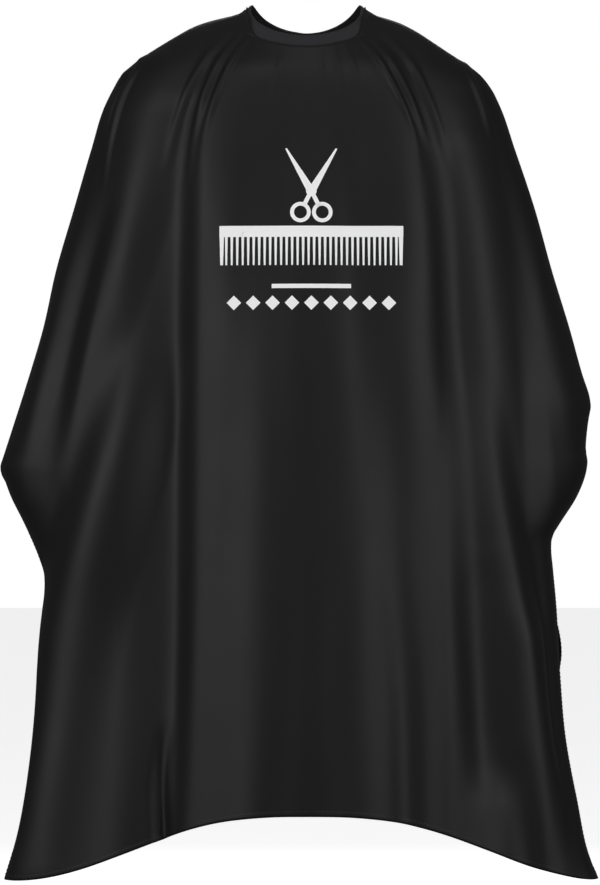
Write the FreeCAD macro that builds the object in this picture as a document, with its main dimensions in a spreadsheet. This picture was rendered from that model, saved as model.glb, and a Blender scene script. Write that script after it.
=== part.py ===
import FreeCAD, Part

"""Barber cape: one sheet of thin cloth with a snap-closed neckband, hanging from a neck and shoulders.

Frame: +Z up, the wearer faces -Y and the wearer's left is +X. The origin is the middle of the neck opening,
level with the band's highest points, which are at the two sides of the neck. Sizes are millimetres, and a
depth is a distance under the origin. Angles called phi run round the neck, from 0 at the front to 180 degrees
at the back. A lift is a distance outward from the neckband's inner face.
"""
import math
import os
import re

import Sketcher
from FreeCAD import Placement, Rotation, Vector

LEFT, RIGHT = 1, -1  # the sign of X on the wearer's left and right

DRIVING = {
    # neckband
    "neck_radius": (66, "radius of the band's top edge"),
    "band_width": (24, "width of the neckband strip"),
    "front_drop": (45, "how far the top edge dips at the front"),
    "rear_drop": (28, "how far the top edge dips at the back"),
    "peak_phi": (105, "where the top edge is highest, degrees from the front"),
    "peak_blend": (0.12, "how softly the top edge turns at its peak"),
    "lean_front": (50, "lean of the strip from upright at the front, degrees"),
    "lean_rear": (15, "lean of the strip at the back, degrees"),
    "lean_side": (25, "extra lean of the strip at the sides, degrees"),
    "outer_thick": (0.5, "neckband outer cloth, two plies"),
    "stiffener_thick": (0.6, "neckband stiffener"),
    "lining_thick": (0.5, "neckband lining"),
    "layer_gap": (0.05, "free space between layers"),
    "stiffener_trim": (2, "the stiffener stops this far inside the strip's edges"),
    "span_gap": (0.6, "free space between two spans of one strip"),
    # closure
    "fold_phi": (127, "where the back flaps fold open, degrees from the front"),
    "snap_first": (24, "first snap from the back centre, along the band"),
    "snap_pitch": (16, "distance between snaps along the band"),
    "stud_count": (5, "studs on the right side of the band"),
    "flap_studs": (3, "how many of the studs are behind the fold line"),
    "tab_snaps": (2, "caps and sockets on the tab"),
    "tab_reach": (50, "how far the tab reaches past the back centre"),
    "tab_ramp": (13, "length over which the tab climbs over the right end"),
    "tab_lift": (5.0, "lift of the tab's inner face"),
    "right_end": (8, "the right end of the band stops this far from the back centre"),
    "left_end": (1.5, "the left end of the band stops this far from the back centre"),
    # snap fastener, heights are lifts
    "cap_radius": (6.2, "radius of the cap"),
    "cap_rim": (5.0, "radius where the cap's dome begins"),
    "cap_crown": (3.0, "radius of the cap's flat crown"),
    "cap_foot": (6.75, "underside of the cap"),
    "cap_edge": (7.15, "top of the cap's edge"),
    "cap_shoulder": (7.75, "height of the cap where the dome begins"),
    "cap_top": (7.95, "top of the cap"),
    "cap_shank_end": (4.12, "end of the cap's shank"),
    "socket_radius": (5.2, "outer radius of the socket"),
    "socket_base": (2.45, "open end of the socket"),
    "socket_roof": (4.1, "underside of the socket's roof"),
    "socket_top": (4.7, "top of the socket"),
    "cavity_radius": (2.9, "radius of the socket's cavity"),
    "stud_radius": (5.0, "radius of the stud's flange"),
    "stud_base": (1.8, "underside of the stud's flange"),
    "flange_top": (2.38, "top of the stud's flange"),
    "neck_of_knob": (1.9, "radius of the stud's knob at its foot"),
    "knob_radius": (2.2, "radius of the stud's knob"),
    "knob_waist": (2.8, "height where the knob is widest first"),
    "knob_bevel": (3.6, "height where the knob's top begins to round"),
    "knob_crown": (1.8, "radius of the knob's flat top"),
    "knob_top": (3.9, "top of the knob"),
    "shank_bore": (1.55, "radius of the bores that hold the shanks"),
    "bore_end": (3.0, "end of the bore in the knob"),
    "shank_radius": (1.5, "radius of the shanks of cap and post"),
    "post_shank_end": (2.95, "end of the post's shank"),
    "post_radius": (5.2, "radius of the post's disc"),
    "post_face": (0.95, "the post's disc stops this far inside the band"),
    "post_back": (1.75, "back of the post's disc, inside the band"),
    "hole_radius": (1.8, "radius of the holes that the shanks go through"),
    # cloth
    "cloth_thick": (2, "thickness that stands for the cloth and its small folds"),
    "seam_gap": (2, "free space between the neckband's lower edge and the cloth, level"),
    "front_hem": (960, "depth of the front hem at its middle"),
    "hem_corner": (1036, "depth of the front corners"),
    "hem_half": (352, "half width between the front corners"),
    "back_hem": (560, "depth of the back hem at the slit"),
    "back_corner": (811, "depth of the back corners"),
    "back_half": (300, "half width between the back corners"),
    "slit_half": (1.5, "half the gap of the back slit"),
    "wing_drop": (510, "depth where the front and the back part at the sides"),
    "side_gap": (4, "gap between the front and the back below the wings"),
    "yoke_start": (29, "the back's top edge falls from this far behind the neck's middle"),
    "yoke_drop": (15.5, "depth of the back's top edge where it starts to fall"),
    "yoke_fall": (0.86, "fall of the back's top edge for each millimetre to the back"),
    "fold_foot_x": (95, "the fold line's distance from the middle at the back hem"),
    "fold_foot_y": (135, "the fold line's distance behind the neck's middle at the back hem"),
    "fold_clear": (18, "cloth left free to bend on the flap's side of the fold line"),
    # care label
    "label_phi": (158, "where the care label hangs, degrees from the front"),
    "label_inset": (4.6, "the label hangs this far inside the band's lower edge"),
    "label_width": (28, "width of the care label"),
    "label_length": (42, "length of the care label"),
    "label_thick": (0.4, "thickness of the care label"),
    # print on the chest
    "skin_gap": (0.3, "free space between the cloth and the printed film"),
    "film_thick": (0.4, "thickness of the printed film"),
    "print_shift": (6, "the print's middle is this far to the wearer's left"),
    "comb_length": (214, "length of the printed comb"),
    "comb_back": (13, "height of the comb's back"),
    "comb_tooth": (33, "length of the comb's teeth"),
    "tooth_pitch": (6.4, "distance between the comb's teeth"),
    "tooth_width": (3.4, "width of a tooth"),
    "comb_drop": (274, "depth of the comb's top edge"),
    "pivot_drop": (233, "depth of the scissors' pivot"),
    "blade_length": (58, "length of a blade from the pivot"),
    "blade_width": (10, "width of a blade at the pivot"),
    "blade_tip": (1.2, "width of a blade at its tip"),
    "blade_open": (27, "angle of each blade from upright, degrees"),
    "ring_radius": (12, "outer radius of a finger ring"),
    "ring_hole": (7.5, "radius of a finger ring's hole"),
    "handle_width": (5, "width of a handle"),
    "handle_length": (28, "length from the pivot to a finger ring's centre"),
    "rule_length": (92, "length of the printed rule"),
    "rule_height": (5, "height of the printed rule"),
    "rule_drop": (342, "depth of the rule's top edge"),
    "lozenge_side": (12, "side of a printed lozenge"),
    "lozenge_pitch": (22.5, "distance between the lozenges' middles"),
    "lozenge_count": (9, "printed lozenges in the row"),
    "lozenge_drop": (364, "depth of the lozenges' middles"),
}

# The form that the cloth hangs on: its depth, half width, and half depth at the front and at the back.
FORM = [
    (8, 80, 56, 66),
    (24, 121, 68, 70),
    (48, 158, 80, 74),
    (66, 186, 92, 77),
    (88, 212, 104, 80),
    (120, 232, 118, 86),
    (156, 245, 126, 92),
    (300, 289, 140, 106),
    (510, 352, 152, 119),
    (600, 326, 156, 122),
    (700, 303, 160, 124),
    (830, 306, 165, 126),
    (1060, 360, 173, 129),
]
FORM_SIZES = ("depth", "half", "chest", "spine")
SEAT_STEP = 0.5  # degrees to each side of a snap, between which the strip's direction is taken
FAR = 400.0  # well past the cloth on every side
DEEP = 1200.0  # well under the lowest corner
NECK_DEEP = DEEP / 8  # how far the neck's cutter reaches over and under the origin
HEM_STEPS = 12  # corners along each half of the front hem
HEM_EASE = 1.3  # how late the hem turns down from its middle

doc = FreeCAD.newDocument("barber_cape")
sheet = doc.addObject("Spreadsheet::Sheet", "dims")
cells = [(alias, number, note) for alias, (number, note) in DRIVING.items()]
for level, numbers in enumerate(FORM):
    for word, number in zip(FORM_SIZES, numbers):
        cells.append((f"form_{word}_{level}", number, f"form level {level}, {word}"))
for row, (alias, number, note) in enumerate(cells, start=1):
    sheet.set(f"A{row}", note)
    sheet.set(f"B{row}", str(number))
    sheet.setAlias(f"B{row}", alias)
doc.recompute()


def dim(alias):
    """A driving dimension, read from the sheet."""
    return float(sheet.get(alias))


# ---------------------------------------------------------------- the document's objects

nodes = []


def keep(label, obj):
    """Names an object as a sub-part."""
    obj.Label = label
    nodes.append(obj)
    return obj


def shaped(label, shape):
    """A sub-part whose shape follows a formula that no sketch or primitive gives."""
    obj = doc.addObject("Part::Feature", label)
    obj.Shape = shape
    return keep(label, obj)


def cell_names(expression):
    """An expression of cells with the sheet's name before each alias."""
    return re.sub(r"[a-z]\w*", r"dims.\g<0>", expression)


def bind(obj, **sizes):
    """Binds an object's sizes to expressions of cells."""
    for name, expression in sizes.items():
        obj.setExpression(name, cell_names(expression))
    return obj


def combined(kind, name, members):
    """A boolean of several objects: kind is Part::MultiCommon or Part::MultiFuse."""
    made = doc.addObject(kind, name)
    made.Shapes = members
    return made


# ---------------------------------------------------------------- the neckband's curve


def top_edge(phi):
    """Height of the band's top edge at an angle: it dips at the front and at the back."""
    peak = math.cos(math.radians(dim("peak_phi")))
    soft = dim("peak_blend")
    past = math.cos(math.radians(phi)) - peak
    reach, drop = (1 - peak, dim("front_drop")) if past > 0 else (1 + peak, dim("rear_drop"))
    return -drop * (math.hypot(past, soft) - soft) / (math.hypot(reach, soft) - soft)


def lean(phi):
    """How far the strip leans out from upright, in radians."""
    c = math.cos(math.radians(phi))
    even = dim("lean_rear") + (dim("lean_front") - dim("lean_rear")) * (1 + c) / 2
    return math.radians(even + dim("lean_side") * (1 - c * c))


def outward(side, phi):
    """The level direction that points away from the neck's middle."""
    a = math.radians(phi)
    return Vector(side * math.sin(a), -math.cos(a), 0)


def strip_normal(side, phi):
    """The direction that lifts point along, square to the strip."""
    return outward(side, phi) * math.cos(lean(phi)) + Vector(0, 0, math.sin(lean(phi)))


def strip_down(side, phi):
    """The direction down the strip's width."""
    return outward(side, phi) * math.sin(lean(phi)) - Vector(0, 0, math.cos(lean(phi)))


def band_point(side, phi, down, lift):
    """A point of the band: down its width from the top edge, and lifted off its inner face."""
    top = outward(side, phi) * dim("neck_radius") + Vector(0, 0, top_edge(phi))
    return top + strip_down(side, phi) * down + strip_normal(side, phi) * lift


def seat_normal(side, phi):
    """The direction square to the strip's face, which slopes along its length as well as across it."""
    middle = dim("band_width") / 2
    along = band_point(side, phi + SEAT_STEP, middle, 0) - band_point(side, phi - SEAT_STEP, middle, 0)
    square = strip_down(side, phi).cross(along).normalize()
    return square if square.dot(strip_normal(side, phi)) > 0 else -square


def behind(distance):
    """The angle at a distance along the band's middle from the back centre."""
    middle_radius = dim("neck_radius") + dim("band_width") * math.sin(lean(180)) / 2
    return 180 - math.degrees(distance / middle_radius)


def tab_rise(phi):
    """How far the tab has climbed at an angle past the back centre."""
    share = min(1.0, (180 - phi) / (180 - behind(dim("tab_ramp"))))
    return dim("tab_lift") * share * share * (3 - 2 * share)


# ---------------------------------------------------------------- neckband and tab

STATION_DEGREES = 5.0
band_thick = dim("outer_thick") + dim("stiffener_thick") + dim("lining_thick") + 2 * dim("layer_gap")
half_gap = math.degrees(dim("span_gap") / dim("neck_radius")) / 2


def stations(side, start, end, rise=None):
    """Evenly spaced (side, angle, extra lift) along the band from one angle to another."""
    count = max(2, round(abs(end - start) / STATION_DEGREES))
    angles = [start + (end - start) * i / count for i in range(count + 1)]
    return [(side, phi, rise(phi) if rise else 0.0) for phi in angles]


def strip(places, lift, thick, trim):
    """A strip through stations, of a thickness and trimmed at both edges of its width."""
    low, high = trim, dim("band_width") - trim
    rings = []
    for side, phi, extra in places:
        section = ((low, lift), (high, lift), (high, lift + thick), (low, lift + thick))
        corners = [band_point(side, phi, down, extra + up) for down, up in section]
        rings.append(Part.makePolygon(corners + corners[:1]))
    return Part.makeLoft(rings, True, True)


def snap_phi(index):
    """The angle of a snap, counted from the back centre."""
    return behind(dim("snap_first") + index * dim("snap_pitch"))


def shank_holes(indices):
    """Round holes for the shanks of these snaps."""
    through = dim("tab_lift") + 3 * band_thick
    holes = []
    for phi in map(snap_phi, indices):
        foot = band_point(RIGHT, phi, dim("band_width") / 2, 0) - seat_normal(RIGHT, phi) * band_thick
        holes.append(Part.makeCylinder(dim("hole_radius"), through, foot, seat_normal(RIGHT, phi)))
    return holes


lining_top = dim("lining_thick")
stiffener_top = lining_top + dim("layer_gap") + dim("stiffener_thick")
LAYERS = {
    "lining": (0.0, dim("lining_thick"), 0.0),
    "stiffener": (lining_top + dim("layer_gap"), dim("stiffener_thick"), dim("stiffener_trim")),
    "outer": (stiffener_top + dim("layer_gap"), dim("outer_thick"), 0.0),
}
fold_front = dim("fold_phi") - half_gap
fold_rear = dim("fold_phi") + half_gap
ramp_end = behind(dim("tab_ramp"))
stud_count, flap_studs = int(dim("stud_count")), int(dim("flap_studs"))
SPANS = {
    "front_band": (
        stations(RIGHT, fold_front, 0) + stations(LEFT, 0, fold_front)[1:],
        range(flap_studs, stud_count),
    ),
    "left_band": (stations(LEFT, fold_rear, behind(dim("left_end"))), range(0)),
    "right_band": (stations(RIGHT, fold_rear, behind(dim("right_end"))), range(flap_studs)),
    "tab": (
        stations(RIGHT, 180, ramp_end, tab_rise) + stations(RIGHT, ramp_end, behind(dim("tab_reach")), tab_rise)[1:],
        range(int(dim("tab_snaps"))),
    ),
}
for span, (places, snaps) in SPANS.items():
    for layer, (lift, thick, trim) in LAYERS.items():
        cloth_strip = strip(places, lift, thick, trim)
        holes = shank_holes(snaps)
        shaped(f"{span}_{layer}", cloth_strip.cut(holes) if holes else cloth_strip)

# ---------------------------------------------------------------- snap fasteners

CAP = [
    ("0", "cap_shank_end"),
    ("shank_radius", "cap_shank_end"),
    ("shank_radius", "cap_foot"),
    ("cap_radius", "cap_foot"),
    ("cap_radius", "cap_edge"),
    ("cap_rim", "cap_shoulder"),
    ("cap_crown", "cap_top"),
    ("0", "cap_top"),
]
SOCKET = [
    ("cavity_radius", "socket_base"),
    ("socket_radius", "socket_base"),
    ("socket_radius", "socket_top"),
    ("shank_bore", "socket_top"),
    ("shank_bore", "socket_roof"),
    ("cavity_radius", "socket_roof"),
]
STUD = [
    ("shank_bore", "stud_base"),
    ("stud_radius", "stud_base"),
    ("stud_radius", "flange_top"),
    ("neck_of_knob", "flange_top"),
    ("knob_radius", "knob_waist"),
    ("knob_radius", "knob_bevel"),
    ("knob_crown", "knob_top"),
    ("0", "knob_top"),
    ("0", "bore_end"),
    ("shank_bore", "bore_end"),
]
POST = [
    ("0", "-post_back"),
    ("post_radius", "-post_back"),
    ("post_radius", "-post_face"),
    ("shank_radius", "-post_face"),
    ("shank_radius", "post_shank_end"),
    ("0", "post_shank_end"),
]


def turned(label, profile, placement):
    """A turned piece: a closed profile of (radius, height) corners, each an expression of cells, round Z."""
    body = doc.addObject("PartDesign::Body", label)
    sketch = body.newObject("Sketcher::SketchObject", f"{label}_profile")
    plane = next(feature for feature in body.Origin.OriginFeatures if feature.Role == "XZ_Plane")
    sketch.AttachmentSupport = (plane, [""])
    sketch.MapMode = "FlatFace"
    points = [Vector(sheet.evalExpression(r), sheet.evalExpression(h), 0) for r, h in profile]
    count = len(points)
    for i, point in enumerate(points):
        sketch.addGeometry(Part.LineSegment(point, points[(i + 1) % count]), False)
    for i, (corner, point) in enumerate(zip(profile, points)):
        sketch.addConstraint(Sketcher.Constraint("Coincident", i, 2, (i + 1) % count, 1))
        for kind, expression, size in zip(("DistanceX", "DistanceY"), corner, (point.x, point.y)):
            index = sketch.addConstraint(Sketcher.Constraint(kind, -1, 1, i, 1, size))
            sketch.renameConstraint(index, f"{kind}_{i}")
            sketch.setExpression(f"Constraints.{kind}_{i}", cell_names(expression))
    turning = body.newObject("PartDesign::Revolution", f"{label}_turning")
    turning.Profile = sketch
    turning.ReferenceAxis = (sketch, ["V_Axis"])
    turning.Angle = 360
    body.Placement = placement
    return keep(label, body)


for index in range(stud_count):
    phi = snap_phi(index)
    foot = band_point(RIGHT, phi, dim("band_width") / 2, 0)
    seat = Placement(foot, Rotation(Vector(0, 0, 1), seat_normal(RIGHT, phi)))
    turned(f"band_stud_{index + 1}", STUD, seat)
    turned(f"band_post_{index + 1}", POST, seat)
    if index < dim("tab_snaps"):
        turned(f"tab_socket_{index + 1}", SOCKET, seat)
        turned(f"tab_cap_{index + 1}", CAP, seat)

# ---------------------------------------------------------------- cloth

levels = [tuple(dim(f"form_{word}_{i}") for word in FORM_SIZES) for i in range(len(FORM))]


def half_ring(level, side_y, inner, outer):
    """A level closed wire round half of the form, between two offsets from it: side_y is -1 in front."""
    depth, half, chest, spine = level
    reach = chest if side_y < 0 else spine
    start, end = (math.pi, 2 * math.pi) if side_y < 0 else (0, math.pi)
    middle = Vector(0, 0, -depth)
    arcs = []
    for offset in (outer, inner):
        across = middle + Vector(half + offset, 0, 0)
        along = middle + Vector(0, reach + offset, 0)
        arcs.append(Part.Arc(Part.Ellipse(across, along, middle), start, end).toShape())
    ends = [arc.valueAt(arc.FirstParameter) for arc in arcs], [arc.valueAt(arc.LastParameter) for arc in arcs]
    last = Part.makeLine(ends[1][0], ends[1][1])
    first = Part.makeLine(ends[0][1], ends[0][0])
    return Part.Wire([arcs[0], last, arcs[1], first])


def half_shell(side_y, inner, outer, first=0, last=len(FORM)):
    """Half of a shell round the form, between two offsets from it and two levels of it."""
    return Part.makeLoft([half_ring(level, side_y, inner, outer) for level in levels[first:last]], True, True)


def side_prism(corners, near, far):
    """A prism on a front-view outline of (x, depth) corners, from one Y to another."""
    points = [Vector(x, near, -depth) for x, depth in corners]
    return Part.Face(Part.makePolygon(points + points[:1])).extrude(Vector(0, far - near, 0))


def neck_cutter():
    """The upright prism under which the cloth starts, just outside the neckband's lower edge."""
    rim = []
    for side, phi, _ in stations(RIGHT, 180, 0) + stations(LEFT, 0, 180)[1:-1]:
        lower = band_point(side, phi, dim("band_width"), band_thick)
        rim.append(Vector(lower.x, lower.y, 0) + outward(side, phi) * dim("seam_gap"))
    face = Part.Face(Part.makePolygon([point + Vector(0, 0, -NECK_DEEP) for point in rim + rim[:1]]))
    return face.extrude(Vector(0, 0, NECK_DEEP * 2))


def yoke_cutter():
    """The space above the back's top edge, which falls from the shoulders to the back centre."""
    near = dim("yoke_start")
    fall_at_far = dim("yoke_drop") + (FAR - near) * dim("yoke_fall")
    profile = [
        Vector(-FAR, near, -dim("yoke_drop")),
        Vector(-FAR, FAR, -fall_at_far),
        Vector(-FAR, FAR, FAR),
        Vector(-FAR, near, FAR),
    ]
    return Part.Face(Part.makePolygon(profile + profile[:1])).extrude(Vector(2 * FAR, 0, 0))


def hem_cutter():
    """The space under the front hem, which arches up between the two front corners."""
    half = dim("hem_half")
    hem = []
    for i in range(-HEM_STEPS, HEM_STEPS + 1):
        share = abs(i) / HEM_STEPS
        fall = ((1 - math.cos(math.pi * share)) / 2) ** HEM_EASE
        hem.append((half * i / HEM_STEPS, dim("front_hem") + (dim("hem_corner") - dim("front_hem")) * fall))
    below = [(FAR, hem[-1][1]), (FAR, DEEP), (-FAR, DEEP), (-FAR, hem[0][1])]
    return side_prism(hem + below, -FAR, FAR)


def back_hem_cutter():
    """The space under the back hem, which falls from the slit to the two back corners."""
    slope = (dim("back_corner") - dim("back_hem")) / dim("back_half")
    low = dim("back_hem") + slope * FAR
    outline = [(0, dim("back_hem")), (FAR, low), (FAR, DEEP), (-FAR, DEEP), (-FAR, low)]
    return side_prism(outline, -FAR, FAR)


fold_top = band_point(LEFT, dim("fold_phi"), dim("band_width"), band_thick + dim("skin_gap"))
fold_foot = Vector(dim("fold_foot_x"), dim("fold_foot_y"), -dim("back_hem"))


def fold_x(depth, shift):
    """Where the fold line, moved toward the back centre, is at a depth."""
    share = (depth + fold_top.z) / (fold_top.z - fold_foot.z)
    return fold_top.x + (fold_foot.x - fold_top.x) * share - shift


neck = neck_cutter()
yoke = yoke_cutter()
front_shell = half_shell(-1, -dim("cloth_thick"), 0)
back_shell = half_shell(1, -dim("cloth_thick"), 0)
side_slits = Part.makeBox(2 * FAR, dim("side_gap"), DEEP, Vector(-FAR, 0, -DEEP - dim("wing_drop")))
back_cloth = back_shell.cut([neck, yoke, back_hem_cutter(), side_slits])

panel_zone = side_prism([(fold_x(0, 0), 0), (FAR, 0), (FAR, DEEP), (fold_x(DEEP, 0), DEEP)], 0, FAR)
clear = dim("fold_clear")
flap_corners = [
    (dim("slit_half"), 0),
    (fold_x(0, clear), 0),
    (fold_x(DEEP, clear), DEEP),
    (dim("slit_half"), DEEP),
]
flap_zone = side_prism(flap_corners, 0, FAR)

shaped("front_panel", front_shell.cut([neck, hem_cutter()]))
for name, zone in (("back_panel", panel_zone), ("back_flap", flap_zone)):
    left = shaped(f"left_{name}", back_cloth.common(zone))
    right = doc.addObject("Part::Mirroring", f"right_{name}")
    right.Source = left
    right.Normal = Vector(1, 0, 0)
    keep(f"right_{name}", right)

# ---------------------------------------------------------------- care label

label_seam = band_point(LEFT, dim("label_phi"), dim("band_width"), 0)
label_out = outward(LEFT, dim("label_phi"))
label_along = Vector(-label_out.y, label_out.x, 0)
label_corner = label_seam - label_out * dim("label_inset") - label_along * dim("label_width") / 2
label = bind(
    doc.addObject("Part::Box", "care_label"),
    Length="label_width",
    Width="label_thick",
    Height="label_length",
)
label.Placement = Placement(
    label_corner - Vector(0, 0, dim("label_length")),
    Rotation(label_along, -label_out, Vector(0, 0, 1)),
)
keep("care_label", label)

# ---------------------------------------------------------------- print on the chest

PRINT_NEAR = -200.0  # where the print's outlines start in Y
PRINT_DEEP = 120.0  # how far they run
chest_levels = [i for i, level in enumerate(FORM) if 100 < level[0] < 600]
chest_layer = doc.addObject("Part::Feature", "chest_layer")
chest_layer.Shape = half_shell(
    -1, dim("skin_gap"), dim("skin_gap") + dim("film_thick"), chest_levels[0], chest_levels[-1] + 1
)
pivot = Vector(dim("print_shift"), 0, -dim("pivot_drop"))


def print_box(name, low_x, low_z, width, height):
    """A box of a front-view rectangle, its width and height bound to cells."""
    box = doc.addObject("Part::Box", name)
    box.Width = PRINT_DEEP
    box.Placement.Base = Vector(low_x, PRINT_NEAR, low_z)
    return bind(box, Length=width, Height=height)


def print_film(label, outlines):
    """A printed film: the part of the chest's layer inside the outlines."""
    outline = combined("Part::MultiFuse", f"{label}_outline", outlines) if len(outlines) > 1 else outlines[0]
    return keep(label, combined("Part::MultiCommon", label, [outline, chest_layer]))


def comb_outlines():
    """The comb's back with its row of teeth."""
    start = dim("print_shift") - dim("comb_length") / 2
    top = -dim("comb_drop")
    outlines = [print_box("comb_back", start, top - dim("comb_back"), "comb_length", "comb_back")]
    count = int((dim("comb_length") - dim("tooth_width")) // dim("tooth_pitch")) + 1
    margin = (dim("comb_length") - (count - 1) * dim("tooth_pitch") - dim("tooth_width")) / 2
    for i in range(count):
        low_x = start + margin + i * dim("tooth_pitch")
        low_z = top - dim("comb_back") - dim("comb_tooth")
        tooth_high = "comb_tooth + comb_back / 2"
        outlines.append(print_box(f"comb_tooth_{i + 1}", low_x, low_z, "tooth_width", tooth_high))
    return outlines


def turned_at_pivot(obj, local, side):
    """Swings an object to the side, about the scissors' pivot."""
    swing = Rotation(Vector(0, 1, 0), side * dim("blade_open"))
    obj.Placement = Placement(pivot, swing).multiply(local)
    return obj


def scissors_half(side):
    """One blade with its handle and finger ring, which is on the other side of the pivot."""
    blade = doc.addObject("Part::Wedge", f"blade_{side + 1}")
    blade.Ymin, blade.Zmin, blade.Z2min = 0, -PRINT_DEEP, -PRINT_DEEP
    blade.Zmax, blade.Z2max = -PRINT_NEAR, -PRINT_NEAR
    bind(blade, Ymax="blade_length", Xmin="-blade_width / 2", Xmax="blade_width / 2")
    bind(blade, X2min="-blade_tip / 2", X2max="blade_tip / 2")
    turned_at_pivot(blade, Placement(Vector(), Rotation(Vector(1, 0, 0), 90)), side)
    grip = bind(doc.addObject("Part::Box", f"grip_{side + 1}"), Length="handle_width")
    grip.Width = PRINT_DEEP
    grip.setExpression("Height", "dims.handle_length - dims.ring_hole")
    grip_low = Vector(-dim("handle_width") / 2, PRINT_NEAR, -dim("handle_length") + dim("ring_hole"))
    turned_at_pivot(grip, Placement(grip_low, Rotation()), side)
    parts = []
    for name, radius in (("ring", "ring_radius"), ("hole", "ring_hole")):
        round_part = bind(doc.addObject("Part::Cylinder", f"{name}_{side + 1}"), Radius=radius)
        round_part.Height = PRINT_DEEP
        centre = Vector(0, PRINT_NEAR, -dim("handle_length"))
        parts.append(turned_at_pivot(round_part, Placement(centre, Rotation(Vector(1, 0, 0), -90)), side))
    ring = doc.addObject("Part::Cut", f"finger_ring_{side + 1}")
    ring.Base, ring.Tool = parts
    return [blade, grip, ring]


def lozenge_outlines():
    """A row of squares that stand on their corners."""
    count = int(dim("lozenge_count"))
    outlines = []
    for i in range(count):
        box = doc.addObject("Part::Box", f"lozenge_{i + 1}")
        bind(box, Length="lozenge_side", Height="lozenge_side")
        box.Width = PRINT_DEEP
        middle_x = dim("print_shift") + (i - (count - 1) / 2) * dim("lozenge_pitch")
        low_z = -dim("lozenge_drop") - dim("lozenge_side") / math.sqrt(2)
        box.Placement = Placement(Vector(middle_x, PRINT_NEAR, low_z), Rotation(Vector(0, 1, 0), -45))
        outlines.append(box)
    return outlines


print_film("print_comb", comb_outlines())
print_film("print_scissors", scissors_half(LEFT) + scissors_half(RIGHT))
rule_start = dim("print_shift") - dim("rule_length") / 2
rule_low = -dim("rule_drop") - dim("rule_height")
print_film("print_rule", [print_box("rule_outline", rule_start, rule_low, "rule_length", "rule_height")])
print_film("print_lozenges", lozenge_outlines())

# ---------------------------------------------------------------- tests and files

doc.recompute()
for obj in doc.Objects:
    if {"Invalid", "Error"} & set(obj.State):
        raise RuntimeError(f"{obj.Label} failed: {obj.State}")
for node in nodes:
    if node.Shape.isNull() or not node.Shape.isValid() or node.Shape.Volume <= 0:
        raise RuntimeError(f"{node.Label} has no valid solid")

os.makedirs("parts", exist_ok=True)
for node in nodes:
    node.Shape.exportStep(f"parts/{node.Label}.step")
    box = node.Shape.BoundBox
    print(f"{node.Label}: {node.Shape.Volume:.1f} mm3, {len(node.Shape.Solids)} solid(s), "
          f"x {box.XMin:.1f}..{box.XMax:.1f}, y {box.YMin:.1f}..{box.YMax:.1f}, z {box.ZMin:.1f}..{box.ZMax:.1f}")

tab_root_lift = band_thick + dim("skin_gap")
tab_root = band_point(LEFT, behind(dim("left_end") / 2), dim("band_width") / 2, tab_root_lift)
print("left fold line from", fold_top, "to", fold_foot)
print("tab hinge at", tab_root, "along", strip_down(LEFT, 180))
print("label hinge at", label_seam - label_out * dim("label_inset"), "along", label_along)
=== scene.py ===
import logging
import math
from dataclasses import dataclass
from enum import Enum

import bmesh
import bpy
import numpy as np
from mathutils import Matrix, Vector


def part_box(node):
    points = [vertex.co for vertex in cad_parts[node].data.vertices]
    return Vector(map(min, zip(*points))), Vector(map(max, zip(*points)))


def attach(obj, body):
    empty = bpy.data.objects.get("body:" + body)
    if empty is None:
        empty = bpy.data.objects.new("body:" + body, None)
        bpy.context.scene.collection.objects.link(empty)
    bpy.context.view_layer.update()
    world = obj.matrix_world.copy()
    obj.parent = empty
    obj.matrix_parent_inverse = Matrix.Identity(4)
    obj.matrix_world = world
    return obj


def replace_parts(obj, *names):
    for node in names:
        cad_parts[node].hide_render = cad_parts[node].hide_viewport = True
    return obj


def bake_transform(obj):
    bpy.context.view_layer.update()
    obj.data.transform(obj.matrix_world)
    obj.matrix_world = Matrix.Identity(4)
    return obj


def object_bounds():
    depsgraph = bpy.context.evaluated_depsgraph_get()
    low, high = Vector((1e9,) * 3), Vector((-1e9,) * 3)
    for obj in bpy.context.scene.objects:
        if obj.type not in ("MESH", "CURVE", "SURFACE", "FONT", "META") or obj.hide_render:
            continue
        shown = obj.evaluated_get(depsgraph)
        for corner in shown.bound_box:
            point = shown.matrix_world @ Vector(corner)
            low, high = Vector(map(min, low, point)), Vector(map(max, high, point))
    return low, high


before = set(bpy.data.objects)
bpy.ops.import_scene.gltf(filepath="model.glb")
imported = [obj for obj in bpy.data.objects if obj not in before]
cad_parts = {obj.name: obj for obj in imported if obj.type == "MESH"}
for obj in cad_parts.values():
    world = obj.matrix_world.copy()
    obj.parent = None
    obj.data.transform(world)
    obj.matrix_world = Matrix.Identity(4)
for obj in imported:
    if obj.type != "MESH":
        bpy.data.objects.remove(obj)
BOX_OF_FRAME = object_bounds()

LOG = logging.getLogger("barber_cape")
MM = 0.001
TINY = 1e-9


class Side(Enum):
    """A side of the wearer, as the sign of X."""

    LEFT = 1
    RIGHT = -1


class Body(Enum):
    """The bodies of the frame that pieces ride on."""

    CAPE = "cape"
    LEFT_FLAP = "left_flap"
    RIGHT_FLAP = "right_flap"
    TAB = "closure_tab"
    LABEL = "label"


# ---------------------------------------------------------------- curves


def smoothstep(share: np.ndarray | float) -> np.ndarray:
    """A share from 0 to 1 that starts and ends level."""
    share = np.clip(share, 0.0, 1.0)
    return share * share * (3 - 2 * share)


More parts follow.
